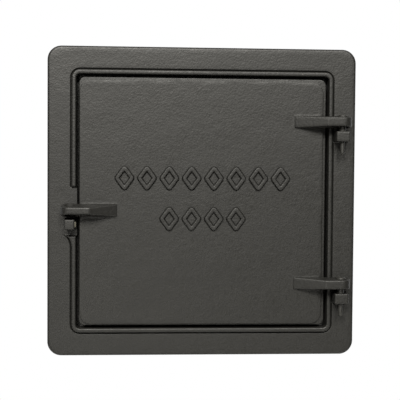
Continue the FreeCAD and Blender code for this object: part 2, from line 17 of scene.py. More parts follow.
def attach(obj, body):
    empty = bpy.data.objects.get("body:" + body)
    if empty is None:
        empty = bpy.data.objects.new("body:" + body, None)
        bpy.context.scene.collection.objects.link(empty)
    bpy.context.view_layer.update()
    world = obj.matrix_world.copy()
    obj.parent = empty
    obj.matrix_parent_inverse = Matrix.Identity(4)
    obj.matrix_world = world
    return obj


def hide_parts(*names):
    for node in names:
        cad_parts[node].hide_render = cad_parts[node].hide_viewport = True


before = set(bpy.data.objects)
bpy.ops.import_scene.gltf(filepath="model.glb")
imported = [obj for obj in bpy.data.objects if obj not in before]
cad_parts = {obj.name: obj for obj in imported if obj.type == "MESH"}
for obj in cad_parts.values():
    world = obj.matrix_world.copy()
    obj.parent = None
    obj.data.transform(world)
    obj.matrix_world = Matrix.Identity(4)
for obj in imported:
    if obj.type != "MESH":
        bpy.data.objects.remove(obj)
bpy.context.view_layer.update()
scene = bpy.context.scene

# %% [markdown]
# ## From arrays to a mesh
#
# Each casting is worked out as whole arrays of points. A grid of points needs only the numbers of
# the four corners of each face, and those come from one array of counted points, shifted by a row
# and by a column. A second helper joins several closed surfaces into one object and turns a
# surface round if its volume comes out negative, so that every face points outwards.

# %% Points and faces into a piece
MM = 0.001


def grid_faces(rows, columns, close_rows=False, close_columns=False):
    """Quads of a grid: each joins a point with the next along its row, and with both on the next row."""
    number = np.arange(rows * columns).reshape(rows, columns)
    if close_rows:
        number = np.vstack([number, number[:1]])
    if close_columns:
        number = np.hstack([number, number[:, :1]])
    corners = (number[:-1, :-1], number[:-1, 1:], number[1:, 1:], number[1:, :-1])
    return np.stack(corners, axis=-1).reshape(-1, 4)


def fans(quads, caps):
    """Triangles of a surface: two for each quad, and a fan from its first corner for each cap."""
    caps = [np.asarray(cap) for cap in caps]
    rims = [np.stack([np.full(len(cap) - 2, cap[0]), cap[1:-1], cap[2:]], axis=1) for cap in caps]
    return np.vstack([quads[:, [0, 1, 2]], quads[:, [0, 2, 3]], *rims])


def outwards(points, quads, caps):
    """The same surface with its faces outwards: the volume is a sixth of the sum of each triangle's
    first corner times the cross product of the other two, and it must come out positive."""
    a, b, c = (points[fans(quads, caps)[:, k]] for k in range(3))
    if np.einsum("ij,ij->", a, np.cross(b, c)) < 0:
        quads, caps = quads[:, ::-1], [list(cap)[::-1] for cap in caps]
    return points, quads, caps


def piece(name, surfaces, body, slot_name, *nodes):
    """One object from closed surfaces, each given as points in millimetres, quads and caps."""
    all_points, all_faces, start = [], [], 0
    for surface in surfaces:
        points, quads, caps = outwards(*surface)
        all_points.append(points * MM)
        all_faces += (quads + start).tolist() + [(np.asarray(cap) + start).tolist() for cap in caps]
        start += len(points)
    mesh = bpy.data.meshes.new(name)
    mesh.from_pydata(np.vstack(all_points).tolist(), [], all_faces)
    mesh.polygons.foreach_set("use_smooth", np.ones(len(mesh.polygons), dtype=bool))
    mesh.update()
    made = bpy.data.objects.new(name, mesh)
    scene.collection.objects.link(made)
    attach(made, body)
    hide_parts(*nodes)
    print(f"{name}: {start} points, {len(all_faces)} faces, rides on {body}")
    return made


# %% [markdown]
# ## Squares with rounded corners
#
# Flange, bead, rebate, leaf and panel are all squares with rounded corners. If every ring has the
# same number of points, shared out in the same way between sides and corners, one ring can be
# joined to the next, and a section carried round the door becomes a surface. The points stand
# closer where the left-hand bead stops on both sides of the latch.

# %% Rounded squares
CORNER_STEPS, EVEN_STEPS, FINE_STEPS = 16, 61, 21
FINE_REACH = 3.0
STRAIGHT_RUN = 101.0
BAY_TOP, BAY_BOTTOM = 11.9, -28.1


def side_places(half):
    """Places along one side from -1 to 1: even steps, and finer ones round both ends of the latch bay."""
    even = np.linspace(-1, 1, EVEN_STEPS)
    ends = [np.linspace(z - FINE_REACH, z + FINE_REACH, FINE_STEPS) / half for z in (BAY_TOP, BAY_BOTTOM)]
    both = np.concatenate([even, *ends, *(-end for end in ends)])
    return np.unique(np.round(both, 4))


SIDE = side_places(STRAIGHT_RUN)


def rounded_square(half, corner):
    """Points of a square with rounded corners, anticlockwise from the front: along a side between the
    corner centres, then a quarter circle about the corner centre; a quarter turn gives the next side."""
    straight = half - corner
    angle = np.linspace(0, np.pi / 2, CORNER_STEPS + 2)[1:-1]
    x = np.concatenate([np.full(len(SIDE), half), straight + corner * np.cos(angle)])
    z = np.concatenate([straight * SIDE, straight + corner * np.sin(angle)])
    quarters = ((x, z), (-z, x), (-x, -z), (z, -x))
    return np.concatenate([np.stack(pair, axis=1) for pair in quarters])


print("points in one ring:", len(rounded_square(100, 5)))

# %% [markdown]
# ## Soft corners
#
# A sand mould never gives a sharp corner: outer edges are rounded and inner ones filled. The same
# helper rounds the corners of a section and of an arm's outline. It replaces each corner by a
# circle's arc that touches both sides, so it works for outer and inner corners alike.


# %% Rounded corners
def soft_line(corners, radii, closed=True, steps=7):
    """Points along straight runs joined by arcs. The arc's centre lies on the corner's bisector at the
    radius over the sine of half the angle, and its ends lie the radius over that half's tangent away.
    A third number of each corner, where there is one, changes evenly from end to end."""
    corners = np.asarray(corners, dtype=float)
    flat, count = corners[:, :2], len(corners)
    share = np.linspace(0, 1, steps)[:, None]
    runs = []
    for i, radius in enumerate(radii):
        if radius == 0 or (not closed and i in (0, count - 1)):
            runs.append(corners[i][None])
            continue
        back, ahead = corners[i - 1] - corners[i], corners[(i + 1) % count] - corners[i]
        lengths = np.linalg.norm(back[:2]), np.linalg.norm(ahead[:2])
        to_back, to_ahead = back[:2] / lengths[0], ahead[:2] / lengths[1]
        half = np.arccos(np.clip(to_back @ to_ahead, -1, 1)) / 2
        middle = (to_back + to_ahead) / np.linalg.norm(to_back + to_ahead)
        centre = flat[i] + middle * radius / np.sin(half)
        reach = radius / np.tan(half)
        start, end = flat[i] + to_back * reach - centre, flat[i] + to_ahead * reach - centre
        whole = np.pi - 2 * half
        arc = centre + (np.sin((1 - share) * whole) * start + np.sin(share * whole) * end) / np.sin(whole)
        third_back = (1 - share) * back[2:] * reach / lengths[0]
        third_ahead = share * ahead[2:] * reach / lengths[1]
        runs.append(np.hstack([arc, corners[i][2:] + third_back + third_ahead]))
    return np.vstack(runs)


def filled_in(line, longest):
    """The same closed line with extra points, so that no step is longer than the longest allowed."""
    nexts = np.roll(line, -1, axis=0)
    counts = np.maximum(1, np.ceil(np.linalg.norm(nexts - line, axis=1) / longest)).astype(int)
    share = np.concatenate([np.arange(n) / n for n in counts])[:, None]
    return np.repeat(line, counts, axis=0) * (1 - share) + np.repeat(nexts, counts, axis=0) * share


small_square = soft_line([(0, 0), (9, 0), (9, 9), (0, 9)], [1] * 4)
print("a rounded square of four corners:", len(small_square), "points")

# %% [markdown]
# ## The skin of a casting
#
# A flat cast face is never quite flat: the sand moves a little and the iron shrinks. A few long
# waves, a few hundredths of a millimetre high, are enough to break up a reflection. They are sums
# of sines in seeded directions, so they come out the same each time.

# %% Long waves in the skin
WAVES, WAVE_HEIGHT, SHORTEST_WAVE, LONGEST_WAVE = 9, 0.09, 17, 60
chance = np.random.default_rng(7)
WAVE_TURNS = chance.uniform(0, 2 * np.pi, WAVES)
WAVE_LENGTHS = chance.uniform(SHORTEST_WAVE, LONGEST_WAVE, WAVES)
WAVE_STARTS = chance.uniform(0, 2 * np.pi, WAVES)


def skin_wave(x, z):
    """Height of the skin's long waves: the mean of sines along nine directions, times the wave height."""
    across = x[..., None] * np.cos(WAVE_TURNS) + z[..., None] * np.sin(WAVE_TURNS)
    return WAVE_HEIGHT * np.sin(2 * np.pi * across / WAVE_LENGTHS + WAVE_STARTS).mean(axis=-1)


sample = np.meshgrid(np.arange(200.0), np.arange(200.0))
print("wave height in mm:", float(np.ptp(skin_wave(*sample))))

# %% [markdown]
# ## The frame casting
#
# One section carried round the door makes flange, quirk, bead, rebate, lip and collar in a single
# closed surface. It could be cut from solids, but a section is how a pattern maker thinks of it,
# and it lets each corner of the section have its own radius. The third number of each section
# point is the radius of the square's corner there. On the left the bead and the quirk, the narrow
# groove beside it, die away next to the latch, and there the rebate's wall comes closer to the leaf.
# The whole left-hand run sits a little nearer to the leaf than the other three, and below the latch
# the bead's outer edge swings out to the keeper's foot.

# %% Frame section carried round the door
FLANGE, OPENING, COLLAR = 127.0, 96.5, 108.3
QUIRK_OUT, BEAD_OUT, BEAD_IN = 109.2, 107.7, 104.1
FACE, BEAD_TOP, QUIRK, SEAT, LIP_BACK, COLLAR_END = 6.0, 8.6, 4.5, -4.0, -8.0, -32.0
BAY_SHIFT, LEFT_SHIFT = 1.4, 0.6
BAY_SOFT, SWING_LONG, SWING_WIDE = 2, 10, 5.4
LEFT_SIDE, LEFT_SOFT, LEFT_END, LEFT_END_SOFT = -90, 8, -120, 9
SECTION_STEP = 3.5

section = soft_line(
    [
        (FLANGE, 0, 11.5),
        (FLANGE, FACE, 11.5),
        (QUIRK_OUT, FACE, 8.3),
        (BEAD_OUT + 0.4, QUIRK, 7.2),
        (BEAD_OUT, QUIRK, 6.8),
        (BEAD_OUT, BEAD_TOP, 6.8),
        (BEAD_IN, BEAD_TOP, 3.2),
        (BEAD_IN, SEAT, 3.2),
        (OPENING, SEAT, 4.0),
        (OPENING, LIP_BACK, 4.0),
        (BEAD_IN, LIP_BACK, 3.2),
        (BEAD_IN, COLLAR_END, 3.2),
        (COLLAR, COLLAR_END, 7.4),
        (COLLAR, 0, 7.4),
    ],
    [0.7, 2.2, 0.4, 0.15, 0.15, 1.3, 1.1, 0.5, 0.5, 0.5, 0.8, 0.8, 0.8, 1.0],
)
section = filled_in(section, SECTION_STEP)


def soft_step(value):
    """A smooth rise from 0 to 1: three times the square less twice the cube."""
    value = np.clip(value, 0, 1)
    return value * value * (3 - 2 * value)


def in_bay(z):
    """1 beside the latch and 0 elsewhere, with a soft end at the top and the bottom: the product of two
    smooth rises, one up to each end."""
    return soft_step((BAY_TOP - z) / BAY_SOFT + 0.5) * soft_step((z - BAY_BOTTOM) / BAY_SOFT + 0.5)


def bead_end(z):
    """How far the bead's outer edge swings out to the keeper below the latch: the sagitta of a quarter of
    an ellipse, which is let go again inside the bay."""
    along = np.clip((z - BAY_BOTTOM) / SWING_LONG + 1, 0, 1)
    return SWING_WIDE * (1 - np.sqrt(1 - along**2)) * soft_step((BAY_BOTTOM + 5 - z) / 4)


def carried_round(section):
    """The section's half widths, levels and corner radii as rings round the door. Each change is a distance
    times a share from 0 to 1 that says how much of it a point takes."""
    rings = np.stack([rounded_square(half, corner) for half, _, corner in section])
    x, z = rings[..., 0], rings[..., 1]
    half, level = section[:, :1], np.repeat(section[:, 1:2], x.shape[1], axis=1)

    # Bead and quirk die away in the bay
    bay = np.where((x < LEFT_SIDE) & (np.abs(z) < 60), in_bay(z), 0)
    lowest = np.where(half > BEAD_OUT - 0.1, QUIRK - 0.1, FACE)
    on_bead = (half < QUIRK_OUT + 1) & (half > BEAD_IN - 0.01) & (level > lowest)
    level = np.where(on_bead, FACE + (level - FACE) * (1 - bay), level)

    # The left-hand run sits nearer to the leaf, and nearer still in the bay
    seat = np.clip((half - OPENING - 1) / 6, 0, 1)
    bay_shift = BAY_SHIFT * bay * seat * np.clip((BEAD_OUT - half) / (BEAD_OUT - BEAD_IN), 0, 1)
    on_left = soft_step((LEFT_SIDE - x) / LEFT_SOFT) * soft_step((x - LEFT_END) / LEFT_END_SOFT)
    left_shift = LEFT_SHIFT * seat * on_left
    x = x + np.where(level > SEAT - 0.01, np.maximum(bay_shift, left_shift), 0)

    # The bead's outer edge swings out to the keeper
    fade = np.clip((FLANGE - half) / (FLANGE - QUIRK_OUT), 0, 1)
    outer = np.clip((half - BEAD_IN - 1) / 2, 0, 1) * fade
    x = x - np.where((x < LEFT_SIDE) & (level > FACE - 2), bead_end(z) * outer, 0)

    # Waves on the flange's face
    front = (level > FACE - 0.05) & (half > QUIRK_OUT + 0.6) & (half < FLANGE - 2.3)
    level = level + np.where(front, skin_wave(x, z), 0)
    return np.stack([x, -level, z], axis=-1)


rings = carried_round(section)
ring_faces = grid_faces(*rings.shape[:2], close_rows=True, close_columns=True)
frame_ring = (rings.reshape(-1, 3), ring_faces, [])
print("frame section:", len(section), "points, rings:", rings.shape)

# %% [markdown]
# ## Blocks with soft edges
#
# Arms and lugs are all blocks: an outline seen from above, spread out in height. A slab of that
# outline with rounded edges is a stack of rings: small ones on the underside, growing out to the
# edge, round it, up the side, round again and back to the middle. The half height may change from
# point to point, which gives the moulder's draft: narrow on the face, wide at the root. Where there
# is a hole, the rings start and end on its circle, and its wall joins the last ring to the first.

# %% Soft block
SHARES_IN = (0.3, 0.5, 0.62, 0.7, 0.78, 0.86, 0.94)


def soft_block(outline, middle, half_height, edge=1.0, steps=6, hole=None):
    """Rings of a block. Each ring is the outline moved inwards along its normals or drawn towards its
    middle point, at a height counted from the block's own half height at that very place. A hole, given
    as its centre and radius, takes the place of the middle point: the rings are drawn in to its circle."""
    outline = np.asarray(outline, dtype=float)
    along = np.roll(outline, -1, axis=0) - np.roll(outline, 1, axis=0)
    normal = np.stack([along[:, 1], -along[:, 0]], axis=1) / np.linalg.norm(along, axis=1, keepdims=True)
    x, level = outline.T
    area = np.sum(x * np.roll(level, -1) - level * np.roll(x, -1))
    normal = normal * np.sign(area)
    centre = outline.mean(axis=0)
    angle = np.linspace(0, np.pi / 2, steps)
    rim = outline - normal * edge
    smallest = 0.04
    if hole:
        centre = np.array(hole[:2])
        centre = centre + (rim - centre) * hole[2] / np.linalg.norm(rim - centre, axis=1, keepdims=True)
        smallest = 0
    drawn_in = [centre + (rim - centre) * share for share in (smallest, *SHARES_IN)]
    round_edge = [outline - normal * edge * (1 - np.sin(a)) for a in angle]
    drop = np.array([0.0] * len(drawn_in) + list(edge * (1 - np.cos(angle))))
    plan = np.stack(drawn_in + round_edge)
    height = half_height(plan[..., 0], plan[..., 1]) - drop[:, None]
    lower = np.stack([plan[..., 0], -plan[..., 1], middle - height], axis=-1)
    upper = np.stack([plan[..., 0], -plan[..., 1], middle + height], axis=-1)[::-1]
    wall = [lower[-1] + (upper[0] - lower[-1]) * share for share in (0.25, 0.5, 0.75)]
    rings = np.concatenate([lower, np.stack(wall), upper])
    count = rings.shape[1]
    caps = [] if hole else [np.arange(count), np.arange(count) + (len(rings) - 1) * count]
    faces = grid_faces(*rings.shape[:2], close_rows=bool(hole), close_columns=True)
    return rings.reshape(-1, 3), faces, caps


print("rings drawn in on each face of a block:", 1 + len(SHARES_IN))

# %% [markdown]
# ## Lugs on the frame
#
# The hinge lugs are blocks with flat faces that stand on the flange, each with a pin through it.
# The keeper lug below the latch arm is a smaller one, and that lug and that arm have a hole for a
# peg. Where a lug meets the flange the mould leaves a fillet, so both the outline and the half
# height flare out close to the flange, by a quarter circle's curve.

# %% Lugs
FILLET = 1.0
HINGE_X, LATCH_X, AXIS = 114.2, -107.85, 14.6
HINGE_Z, LATCH_Z = 66.6, -7.0
HINGE_LUG_DOWN, KEEPER_DOWN = 7.8, 7.3
PEG_HOLE = (LATCH_X, AXIS, 1.9)
OUTLINE_STEP = 1.5


def flare(level):
    """How far a wall leans out near the flange: the fillet's radius less its quarter circle's height."""
    up = np.clip((level - FACE) / FILLET, 0, 1)
    return FILLET * (1 - np.sqrt(1 - (1 - up) ** 2))


def lug_outline(x, half_width, front, corner):
    """Side walls with a fillet at the foot and a rounded front, from the right foot round to the left."""
    foot = np.concatenate([[FACE - 0.5], FACE + FILLET * np.linspace(0, 1, 8) ** 1.5])
    start = FACE + FILLET
    walls = [(half_width, start), (half_width, front), (-half_width, front), (-half_width, start)]
    top = soft_line(walls, [0, corner, corner, 0], closed=False, steps=14)
    right = np.stack([half_width + flare(foot), foot], axis=1)[:-1]
    left = (right * (-1, 1))[::-1]
    return filled_in(np.vstack([right, top, left]) + (x, 0), OUTLINE_STEP)


def lug(x, top, height, half_width, front, corner, edge, hole=None):
    """A lug that reaches down from the height top, as a block of its outline."""

    def half_height(x, level):
        """Half the lug's height plus the fillet's flare at this level."""
        return height / 2 + flare(level)

    outline = lug_outline(x, half_width, front, corner)
    return soft_block(outline, top - height / 2, half_height, edge, hole=hole)


hinge_lugs = [
    lug(HINGE_X, z - HINGE_LUG_DOWN, height=8.3, half_width=5.8, front=AXIS + 4.8, corner=1.4, edge=0.9)
    for z in (HINGE_Z, -HINGE_Z)
]
keeper_lug = lug(
    LATCH_X,
    LATCH_Z - KEEPER_DOWN,
    height=8.0,
    half_width=4.15,
    front=AXIS + 4.0,
    corner=1.2,
    edge=0.8,
    hole=PEG_HOLE,
)
print("lugs:", len(hinge_lugs) + 1)

# %% [markdown]
# ## Turned forms
#
# A round form is half of an outline spun about an upright axis. The nib is one: a small round
# catch on the keeper's side, next to the leaf's edge. The pins come later in the same way.

# %% Spin an outline
AROUND = 48


def turned(x, level, z, outline):
    """Spin a half outline of radius and height: each point becomes a ring of cosines and sines."""
    outline = np.asarray(outline, dtype=float)
    angle = np.arange(AROUND) * 2 * np.pi / AROUND
    ring_x = x + outline[:, :1] * np.cos(angle)
    ring_y = -level + outline[:, :1] * np.sin(angle)
    ring_z = np.repeat(z + outline[:, 1:], AROUND, axis=1)
    points = np.stack([ring_x, ring_y, ring_z], axis=-1)
    caps = [np.arange(AROUND), np.arange(AROUND) + (len(outline) - 1) * AROUND]
    return points.reshape(-1, 3), grid_faces(*points.shape[:2], close_columns=True), caps


NIB_RADIUS, NIB_HALF, POLE = 1.3, 2.5, 0.1
NIB_PLACE = (LATCH_X + 3.95, AXIS + 1.5, LATCH_Z - 11.3)
nib_half = soft_line(
    [(POLE, NIB_HALF), (NIB_RADIUS, NIB_HALF), (NIB_RADIUS, -NIB_HALF), (POLE, -NIB_HALF)],
    [0, 1.1, 1.1, 0],
    closed=False,
)
nib = turned(*NIB_PLACE, nib_half)
on_frame = [frame_ring, *hinge_lugs, keeper_lug, nib]
frame_casting = piece("frame_casting", on_frame, "frame", "frame_iron", "door_frame")

# %% [markdown]
# ## The leaf's face
#
# The middle of the leaf is a height field: a grid of places across the panel, each with its own
# level. The lines of the grid stand about a millimetre apart round the roots of the arms, where
# there is a low fillet, and further apart on the plain field. The fillet's height follows from the
# distance to the nearest root alone.

# %% Height field of the panel
PANEL, PLATE, PLATE_BACK, RIM_BACK = 9.6, 7.2, 3.2, -3.8
INNER = 92.0
ARM_TIP, ARM_ROOT_HALF = 75.4, 5.1
LATCH_TIP, LATCH_ROOT_HALF = -70.05, 5.45
ROOT_RADIUS, ROOT_SHARE = 1.3, 0.15


def lines_at(*spans):
    """Places of grid lines from spans of start, end and step."""
    runs = [np.linspace(a, b, int(round((b - a) / step)), endpoint=False) for a, b, step in spans]
    return np.append(np.concatenate(runs), INNER)


across = lines_at((-INNER, -62, 1.0), (-62, 68, 2.2), (68, INNER, 0.9))
upright = lines_at(
    (-INNER, -75, 1.7),
    (-75, -58, 0.8),
    (-58, -17, 2.2),
    (-17, 3, 0.9),
    (3, 58, 2.2),
    (58, 75, 0.8),
    (75, INNER, 1.7),
)


def off_root(past_tip, past_side):
    """Distance to a root: the hypotenuse of the ways past its tip and past its side, each from 0 up."""
    return np.hypot(np.maximum(past_tip, 0), np.maximum(past_side, 0))


def root_fillet(x, z):
    """Height of the fillet round each arm's root: a quarter circle's curve of the distance to the root."""
    hinge = off_root(ARM_TIP - x, np.abs(np.abs(z) - HINGE_Z) - ARM_ROOT_HALF)
    latch = off_root(x - LATCH_TIP, np.abs(z - LATCH_Z) - LATCH_ROOT_HALF)
    off = np.minimum(hinge, latch)
    up = np.clip(off / ROOT_RADIUS, 0, 1)
    return ROOT_RADIUS * (1 - np.sqrt(1 - (1 - up) ** 2)) * (off < ROOT_RADIUS)


def panel_level(x, z):
    """The panel's own level, plus its waves, plus a share of the arms' fillets."""
    return PANEL + skin_wave(x, z) + ROOT_SHARE * root_fillet(x, z)


grid_x, grid_z = np.meshgrid(across, upright)
field = np.stack([grid_x, -panel_level(grid_x, grid_z), grid_z], axis=-1)
print("panel grid:", field.shape[:2])

# %% [markdown]
# ## Raised lozenges
#
# Two rows of lozenges cross the panel, each a ridge with steep drafted sides and a soft top. When the
# sides of a lozenge all move out by the same offset, it only grows about its centre, so every point
# of the ridge's section becomes a lozenge of another size. These rings joined together are the
# ridge, and its foot stands a little below the panel.

# %% Lozenges
WIDE, TALL, PITCH = 6.2, 8.5, 18.3
ROWS = ((8, 19.5), (4, -13.7))
FOOT, CREST, SINK, RISE = 2.4, 1.25, -0.4, 2.1
CORNER, LEAST_CORNER = 1, 0.4
ridge_section = soft_line(
    [(-FOOT, SINK), (-CREST, RISE), (CREST, RISE), (FOOT, SINK)],
    [0, 0.8, 0.8, 0],
    closed=False,
)


def lozenge(place, row):
    """One ridge. A lozenge's growth for an offset is one plus the offset times the length of a side over
    the product of its half axes, and its corners' radius grows with the offset."""
    rings = []
    for off, height in ridge_section:
        growth = 1 + off * np.hypot(WIDE, TALL) / (WIDE * TALL)
        corners = np.array([(WIDE, 0), (0, TALL), (-WIDE, 0), (0, -TALL)]) * growth
        ring = soft_line(corners, [max(LEAST_CORNER, CORNER + off)] * 4) + (place, row)
        rings.append(np.column_stack([ring[:, 0], -PANEL - skin_wave(*ring.T) - height, ring[:, 1]]))
    points = np.stack(rings)
    faces = grid_faces(*points.shape[:2], close_rows=True, close_columns=True)
    return points.reshape(-1, 3), faces, []


lozenges = []
for count, row in ROWS:
    lozenges += [lozenge(place, row) for place in (np.arange(count) - (count - 1) / 2) * PITCH]
print("lozenges:", len(lozenges))

# %% [markdown]
# ## The leaf's edge
#
# Round the height field come rings: over the panel's rounded edge, down to the plate, out to its
# edge, back along the rim that seats in the frame and up its inner wall, where one flat face closes
# the back of the plate. Each ring is a rounded square with as many points as the grid has on its
# border, shared out by length, so that no step is left at the corners. The pattern's panel sat a
# little to the left and low, so the strip of plate beside it is wider at the right and the top.

# %% Rings round the panel
number = np.arange(grid_x.size).reshape(grid_x.shape)
border = np.concatenate([number[:-1, -1], number[-1, :0:-1], number[:0:-1, 0], number[0, :-1]])
border_points = field.reshape(-1, 3)[border]


def ring_at(half, corner):
    """A rounded square with one point for each border point: the share of the way from a side's middle
    to the grid's corner becomes the same share of the way to the middle of the rounded corner."""
    x, z = border_points[:, 0], border_points[:, 2]
    on_side = np.abs(x) >= np.abs(z)
    way = np.where(on_side, z, x) / INNER
    length = np.abs(way) * (half - corner + corner * np.pi / 4)
    turn = np.clip((length - (half - corner)) / corner, 0, np.pi / 4)
    out = half - corner + corner * np.cos(turn)
    side = np.sign(way) * (np.minimum(length, half - corner) + corner * np.sin(turn))
    main = np.sign(np.where(on_side, x, z)) * out
    return np.stack([np.where(on_side, main, side), np.where(on_side, side, main)], axis=1)


PANEL_EDGE, PLATE_EDGE, RIM_IN = 99.8, 101.5, 97.5
PANEL_OFF = np.array((-0.7, -0.5))
PANEL_REACH, LEFT_EDGE_IN, LEFT_EDGE_SOFT = 100.8, 0.5, 7
edge_section = soft_line(
    [
        (96.5, PANEL, 6.2),
        (PANEL_EDGE, PANEL, 9.5),
        (PANEL_EDGE, PLATE, 9.5),
        (PLATE_EDGE, PLATE, 4.5),
        (PLATE_EDGE, RIM_BACK, 4.5),
        (RIM_IN, RIM_BACK, 2.3),
        (RIM_IN, PLATE_BACK, 2.3),
        (95.0, PLATE_BACK, 2.0),
    ],
    [0, 0.6, 0.3, 0.4, 0.5, 0.5, 0.8, 0],
    closed=False,
    steps=6,
)


def edge_ring(half, level, corner):
    """One ring of the leaf's edge: the panel's rings move with the panel by a share that ends at the plate,
    and the others have their left side moved in by a smooth rise."""
    share = np.clip(PANEL_REACH - half, 0, 1) * (level > PLATE - 0.01)
    ring = ring_at(half, corner) + PANEL_OFF * share
    ring[:, 0] += LEFT_EDGE_IN * (1 - share) * soft_step((-INNER - ring[:, 0]) / LEFT_EDGE_SOFT)
    return np.column_stack([ring, np.full(len(border), level)])


edge_rings = [edge_ring(*place) for place in edge_section]
first = edge_rings[0]
flat_border = np.column_stack([border_points[:, 0], border_points[:, 2]])
to_edge = first[:, :2] - flat_border
inner_shares = np.linspace(0, 1, 6)[1:-1]
inner_rings = [np.column_stack([flat_border + to_edge * share, first[:, 2]]) for share in inner_shares]
ring_x, ring_z, ring_level = np.moveaxis(np.stack(inner_rings + edge_rings), -1, 0)
ring_level = np.where(ring_level > PANEL - 0.01, panel_level(ring_x, ring_z), ring_level)
edge_points = np.stack([ring_x, -ring_level, ring_z], axis=-1)

ring_number = grid_x.size + np.arange(ring_x.size).reshape(ring_x.shape)
loops = np.vstack([border, ring_number])
here, there = loops[:-1], loops[1:]
corners = (here, there, np.roll(there, -1, axis=1), np.roll(here, -1, axis=1))
band = np.stack(corners, axis=-1).reshape(-1, 4)
leaf_plate = (
    np.vstack([field.reshape(-1, 3), edge_points.reshape(-1, 3)]),
    np.vstack([grid_faces(*grid_x.shape), band]),
    [loops[-1][::-1]],
)
print("leaf rings:", edge_points.shape)

# %% [markdown]
# ## Arms
#
# An arm rises from a blunt tip on the panel in a straight slope to a ridge, runs flat past the
# leaf's edge, and ends in a round knuckle. The two hinge arms take the pins, and the latch arm is
# one turned the other way. All three are cast with the leaf, so they join its mesh. A flat seat is
# cut into each knuckle, for a pin's head or round the hole for the peg.

# %% Arms
ARM_FRONT, ARM_BACK = 22.0, PANEL - 0.4
TIP_FRONT = PANEL + 0.8
KNUCKLE, HEAD_SEAT, SEAT_SOFT = 7.4, 4.0, 0.8


def arm_outline(axis_x, side, tip, ridge):
    """An arm from above: back, blunt tip, slope, flat front, and the knuckle's circle about the axis."""
    start = np.arcsin((AXIS - ARM_BACK) / KNUCKLE)
    turn = np.linspace(np.pi / 2, -np.pi + start, 34)
    knuckle = np.stack([np.cos(turn) * KNUCKLE, AXIS + np.sin(turn) * KNUCKLE], axis=1)
    inner = -KNUCKLE * np.cos(start)
    corners = [(inner, ARM_BACK), (-tip, ARM_BACK), (-tip, TIP_FRONT), (-ridge, ARM_FRONT), (0, ARM_FRONT)]
    slope = soft_line(corners, [0, 0, 0.6, 3.5, 0], closed=False, steps=9)
    return filled_in(np.vstack([slope[1:-1], knuckle]) * (side, 1) + (axis_x, 0), OUTLINE_STEP)


def drafted(axis_x, face, root):
    """Half height of an arm: from its face's to its root's with the depth, and its face's at the seat."""

    def half_height(x, level):
        """Half the face's height, plus half the growth to the root times the depth, off the seat."""
        depth = np.clip((ARM_FRONT - level) / (ARM_FRONT - ARM_BACK), 0, 1)
        off_seat = soft_step((np.hypot(x - axis_x, level - AXIS) - HEAD_SEAT) / SEAT_SOFT)
        return face / 2 + (root - face) / 2 * depth * off_seat

    return half_height


hinge_line = arm_outline(HINGE_X, 1, tip=38.8, ridge=13.2)
hinge_height = drafted(HINGE_X, face=7.2, root=10.2)
hinge_arms = [soft_block(hinge_line, z, hinge_height) for z in (HINGE_Z, -HINGE_Z)]
latch_line = arm_outline(LATCH_X, -1, tip=37.8, ridge=15.9)
latch_arm = soft_block(latch_line, LATCH_Z, drafted(LATCH_X, face=5.4, root=10.9), hole=PEG_HOLE)
on_leaf = [leaf_plate, *lozenges, *hinge_arms, latch_arm]
leaf_casting = piece("leaf_casting", on_leaf, "door", "leaf_iron", "door_leaf")

# %% [markdown]
# ## Pins
#
# The hinge pins have a low domed head on the arm, a shoulder that rests on the lug and a tail with a
# blunt point below it.

# %% Turned pins
SHANK, SPIGOT, HEAD, TAIL = 2.8, 1.8, 4.0, -26.5
pin_half = soft_line(
    [
        (0.3, 6.0),
        (2.6, 6.0),
        (HEAD, 4.9),
        (HEAD, 3.6),
        (SHANK, 3.6),
        (SHANK, -HINGE_LUG_DOWN),
        (SPIGOT, -HINGE_LUG_DOWN),
        (SPIGOT, -25.2),
        (1.2, TAIL),
        (POLE, TAIL),
    ],
    [0, 1.6, 0.7, 0.2, 0.2, 0.3, 0.2, 0.9, 0.5, 0],
    closed=False,
)
upper_form = turned(HINGE_X, AXIS, HINGE_Z, pin_half)
lower_form = turned(HINGE_X, AXIS, -HINGE_Z, pin_half)
upper_pin = piece("upper_pin", [upper_form], "door", "pin_steel", "upper_hinge_pin")
lower_pin = piece("lower_pin", [lower_form], "door", "pin_steel", "lower_hinge_pin")

# %% [markdown]
# ## Satin black paint on sand-cast iron
#
# The paint is thin, so the sand's grain shows through as fine pebbles, and it is a warm black, not
# a pure one. Four scales are mixed on the piece's own coordinates: lumps over a centimetre wide,
# dimples of a few millimetres, pebbles about a millimetre wide, and grain finer than that. Wide
# patches also change the colour and the gloss a little, and a few light specks of dust and bare grit
# lie in the paint. The nib is rubbed by the door, so it is smoother than the rest. Its much lighter
# colour is partly wear and partly a painted highlight, which stands in for a glint on its round face.


# %% Nodes in short
def link(tree, source, target):
    """A wire from one socket to another."""
    tree.links.new(source, target)


def node(tree, kind, **values):
    """A node with its settings, and with numbered or named inputs set from a dictionary."""
    made = tree.nodes.new(kind)
    numbers = values.pop("inputs", {})
    for name, value in values.items():
        setattr(made, name, value)
    for name, value in numbers.items():
        made.inputs[name].default_value = value
    return made


def noise(tree, place, scale, detail, roughness=0.5):
    """Soft noise with so many lumps to the metre, and the finer ones that detail adds."""
    settings = {"Scale": scale, "Detail": detail, "Roughness": roughness}
    made = node(tree, "ShaderNodeTexNoise", inputs=settings)
    link(tree, place, made.inputs["Vector"])
    return made.outputs["Fac"]


def between(tree, value, low, high, out_low, out_high):
    """A smooth change from out_low to out_high while the value goes from low to high."""
    settings = {"From Min": low, "From Max": high, "To Min": out_low, "To Max": out_high}
    made = node(tree, "ShaderNodeMapRange", interpolation_type="SMOOTHSTEP", inputs=settings)
    link(tree, value, made.inputs["Value"])
    return made.outputs["Result"]


def calc(tree, operation, first, second):
    """One sum, product or maximum of two values, each a number or a socket."""
    made = node(tree, "ShaderNodeMath", operation=operation)
    for socket, value in zip(made.inputs, (first, second)):
        if isinstance(value, (int, float)):
            socket.default_value = value
        else:
            link(tree, value, socket)
    return made.outputs["Value"]


